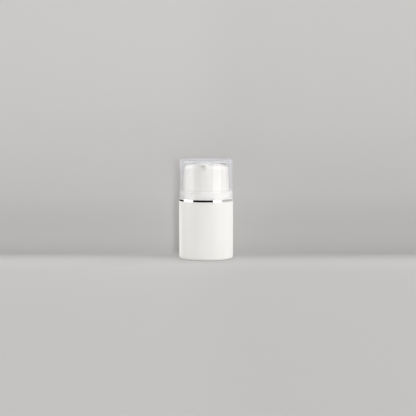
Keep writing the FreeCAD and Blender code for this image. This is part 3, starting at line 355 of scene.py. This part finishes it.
def sealing_foam():
    """Closed-cell foam disc: matt, with small pits."""
    material, tree = new_material("gasket_foam_cells")
    cells = add(tree, "ShaderNodeTexVoronoi", {"Vector": object_place(tree), "Scale": 5000.0})
    return finish_principled(material, tree, {
        "Base Color": tint(tree, noise(tree, 1200.0, detail=3.0), (0.74, 0.74, 0.72), (0.82, 0.82, 0.80)),
        "Roughness": between(tree, noise(tree, 2500.0), 0.75, 0.92),
        "Normal": bump(tree, cells.outputs["Distance"], depth=0.00004),
    })


def spring_wire():
    """Stainless wire with fine draw marks."""
    material, tree = new_material("spring_steel_drawn")
    marks = noise(tree, 500.0, detail=5.0, stretch=(1.0, 1.0, 12.0))
    return finish_principled(material, tree, {
        "Base Color": tint(tree, marks, (0.50, 0.50, 0.51), (0.66, 0.66, 0.66)),
        "Metallic": 1.0,
        "Roughness": between(tree, marks, 0.18, 0.38),
        "Normal": bump(tree, marks, depth=0.000005),
    })


def ball_glass():
    """Ground glass ball with a faint green tint."""
    material, tree = new_material("ball_glass_ground")
    frost = noise(tree, 3000.0, detail=4.0)
    return finish_principled(material, tree, {
        "Base Color": tint(tree, frost, (0.80, 0.88, 0.86), (0.90, 0.95, 0.94)),
        "Roughness": between(tree, frost, 0.03, 0.12),
        "IOR": 1.52,
        "Transmission Weight": 1.0,
    })


def dress_nodes():
    """Give every solid the finish of its slot."""
    finishes = {
        "white_pp": white_plastic(),
        "clear_cap": clear_plastic(),
        "bright_plating": bright_plating(),
        "natural_pp": milky_plastic(),
        "natural_pe": waxy_plastic(),
        "gasket_foam": sealing_foam(),
        "spring_steel": spring_wire(),
        "ball_glass": ball_glass(),
    }
    for part in frame["record"]["subparts"]:
        for slot in frame["nodes"][part["node"]].material_slots:
            slot.material = finishes[part["material_slot"]]


def add_working_spring():
    """A copy of the spring's solid that stands for it, with a mesh of its own, hung on the spring's body."""
    solid = frame["nodes"]["return_spring"]
    spring = add_object("return_spring_coils", solid.data.copy())
    spring.data.materials.clear()
    spring.data.materials.append(solid.material_slots[0].material)
    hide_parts("return_spring")
    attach(spring, "spring_body")
    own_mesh(spring)


# The stage, the lamps and the cards.


def add_strip(name, rungs):
    """A sheet over pairs of points, like the rungs of a ladder."""
    mesh = bpy.data.meshes.new(name)
    firsts = range(0, 2 * (len(rungs) - 1), 2)
    faces = [(first, first + 1, first + 3, first + 2) for first in firsts]
    mesh.from_pydata([point for rung in rungs for point in rung], [], faces)
    for polygon in mesh.polygons:
        polygon.use_smooth = True
    return add_object(name, mesh)


def add_sheet(name, rows):
    """A sheet of the stage through rows at (towards the camera, up), as wide as the stage."""
    side = TO_THE_RIGHT * STAGE_REACH
    middles = [TOWARDS_CAMERA * depth + UP * height for depth, height in rows]
    sheet = add_strip(name, [(middle - side, middle + side) for middle in middles])
    return sheet


def stage_paint(name, tones, direction):
    """Matt paint with painted shade: its tone follows a direction, and it dims a little to the bottle's
    right.

    A share of it shows free of shadows, and it is clear from behind.
    """
    material, tree = new_material(name)
    start = tones[0][0]
    end = tones[-1][0]
    share = between(tree, along(tree, direction), 0.0, 1.0, start, end)
    # The ramp's tones paint the shade that darkens floor and wall towards the cove.
    ramp = add(tree, "ShaderNodeValToRGB", {"Fac": share})
    ramp.color_ramp.interpolation = "B_SPLINE"
    while len(ramp.color_ramp.elements) < len(tones):
        ramp.color_ramp.elements.new(0.5)
    for element, (where, grey) in zip(ramp.color_ramp.elements, tones):
        element.position = (where - start) / (end - start)
        element.color = (grey, grey * WARMTH, grey * WARMTH * WARMTH, 1.0)
    # A painted shade: the tone dims a little to the right of the bottle.
    painted_right_shade = between(tree, along(tree, TO_THE_RIGHT), 1.0, RIGHT_TONE, -RIGHT_REACH, RIGHT_REACH,
                      interpolation_type="SMOOTHSTEP")
    dimmed = add(tree, "ShaderNodeVectorMath", {0: ramp.outputs["Color"], 1: painted_right_shade}, operation="MULTIPLY")
    tone = dimmed.outputs["Vector"]
    paint = add(tree, "ShaderNodeBsdfDiffuse", {"Color": tone})
    glow = add(tree, "ShaderNodeEmission", {"Color": tone})
    path = add(tree, "ShaderNodeLightPath")
    seen = maths(tree, "MAXIMUM", path.outputs["Is Camera Ray"], path.outputs["Is Transmission Ray"])
    shadowless = maths(tree, "MULTIPLY", seen, SHADOWLESS_SHARE)
    front = mix_shaders(tree, shadowless, paint.outputs["BSDF"], glow.outputs["Emission"])
    clear = add(tree, "ShaderNodeBsdfTransparent")
    behind = add(tree, "ShaderNodeNewGeometry").outputs["Backfacing"]
    finish_material(tree, mix_shaders(tree, behind, front, clear.outputs["BSDF"]))
    return material


def add_stage():
    """The floor and the wall. The wall casts no shadow, and neither shows in reflections."""
    cove = []
    for step in range(COVE_STEPS + 1):
        turn = math.pi / 2 * step / COVE_STEPS
        depth = -WALL_BEHIND + COVE_RADIUS - COVE_RADIUS * math.sin(turn)
        cove.append((depth, COVE_RADIUS - COVE_RADIUS * math.cos(turn)))
    floor = add_sheet("floor", [(STAGE_REACH, 0.0), cove[0]])
    wall = add_sheet("wall", [*cove, (-WALL_BEHIND, STAGE_REACH)])
    floor.data.materials.append(stage_paint("floor_paint", FLOOR_TONES, TOWARDS_CAMERA))
    wall.data.materials.append(stage_paint("wall_paint", WALL_TONES, UP))
    wall.visible_shadow = False
    for sheet in (floor, wall):
        sheet.visible_glossy = False
    return wall


def add_card(name, first, last, distance, low, high, glow=0.0):
    """A curved card round the bottle, black or glowing, as is set beside bright metal in a studio.

    It runs from the first angle to the last and from low to high, and only reflections see it.
    """
    rungs = []
    for step in range(CARD_STEPS + 1):
        angle = first + (last - first) * step / CARD_STEPS
        rungs.append((seen_from(angle, distance, high), seen_from(angle, distance, low)))
    card = add_strip(name, rungs)
    material, tree = new_material(name + "_paint")
    shader = add(tree, "ShaderNodeEmission", {"Color": LAMP_WHITE, "Strength": glow})
    finish_material(tree, shader.outputs["Emission"])
    card.data.materials.append(material)
    for ray in ("camera", "diffuse", "transmission", "volume_scatter", "shadow"):
        setattr(card, "visible_" + ray, False)


def add_softbox(name, angle, distance, height, width, tall, power, mirrored=True, spared=()):
    """A lamp that faces the bottle. It can stay out of reflections, and leave some objects unlit."""
    data = bpy.data.lights.new(name, "AREA")
    data.shape = "RECTANGLE"
    data.size = width
    data.size_y = tall
    data.energy = power
    lamp = add_object(name, data)
    lamp.location = seen_from(angle, distance, height)
    turn_to_face(lamp, UP * AIM_HEIGHT)
    lamp.visible_camera = False
    lamp.visible_transmission = False
    lamp.visible_glossy = mirrored
    if spared:
        unlit = bpy.data.collections.new(name + "_leaves_unlit")
        for thing in spared:
            unlit.objects.link(thing)
        for member in unlit.collection_objects:
            member.light_linking.link_state = "EXCLUDE"
        lamp.light_linking.receiver_collection = unlit


def add_lights(wall):
    """Soft lamps on both sides, and the cards that the ring, the cap and the dome mirror."""
    cap = frame["nodes"]["cap"]
    add_softbox("key_right", angle=48.5, distance=1.2, height=0.45, width=0.90, tall=1.3, power=8.2,
                spared=(wall,))
    add_softbox("rim_right", angle=112.0, distance=1.2, height=0.50, width=0.60, tall=1.5, power=7.0,
                mirrored=False, spared=(wall,))
    add_softbox("fill_left", angle=-82.0, distance=1.2, height=0.38, width=1.24, tall=1.0, power=6.7,
                spared=(wall,))
    add_softbox("rim_left", angle=-135.0, distance=1.2, height=0.50, width=1.10, tall=1.5, power=6.5,
                spared=(wall, cap))
    add_softbox("front", angle=9.3, distance=1.6, height=0.15, width=0.21, tall=0.21, power=6.1,
                mirrored=False)
    add_softbox("top_back", angle=172.0, distance=0.30, height=1.25, width=0.4, tall=0.4, power=2.5,
                mirrored=False)
    add_card("flag_front", first=-57.0, last=28.5, distance=0.55, low=-0.03, high=0.014)
    add_card("flag_left_back", first=-160.0, last=-110.0, distance=0.55, low=-0.002, high=0.014)
    add_card("card_right", first=72.0, last=150.0, distance=0.55, low=0.0052, high=0.014, glow=0.35)
    add_card("card_front", first=-18.0, last=28.5, distance=0.56, low=0.016, high=0.10, glow=1.1)


def add_world():
    """A dim even room, which shows as a pale backdrop to the camera and in reflections."""
    world = bpy.data.worlds.new("studio")
    world.use_nodes = True
    tree = world.node_tree
    tree.nodes.clear()
    output = tree.nodes.new("ShaderNodeOutputWorld")
    path = add(tree, "ShaderNodeLightPath")
    seen = maths(tree, "MAXIMUM", path.outputs["Is Camera Ray"], path.outputs["Is Glossy Ray"])
    room = add(tree, "ShaderNodeBackground", {"Color": LAMP_WHITE, "Strength": ROOM_STRENGTH})
    backdrop = add(tree, "ShaderNodeBackground", {"Color": BACKDROP_WHITE, "Strength": 1.0})
    shown = mix_shaders(tree, seen, room.outputs["Background"], backdrop.outputs["Background"])
    tree.links.new(shown, output.inputs["Surface"])
    bpy.context.scene.world = world


bpy.context.scene.view_settings.view_transform = "Standard"
add_camera()
dress_nodes()
add_working_spring()
add_lights(add_stage())
add_world()
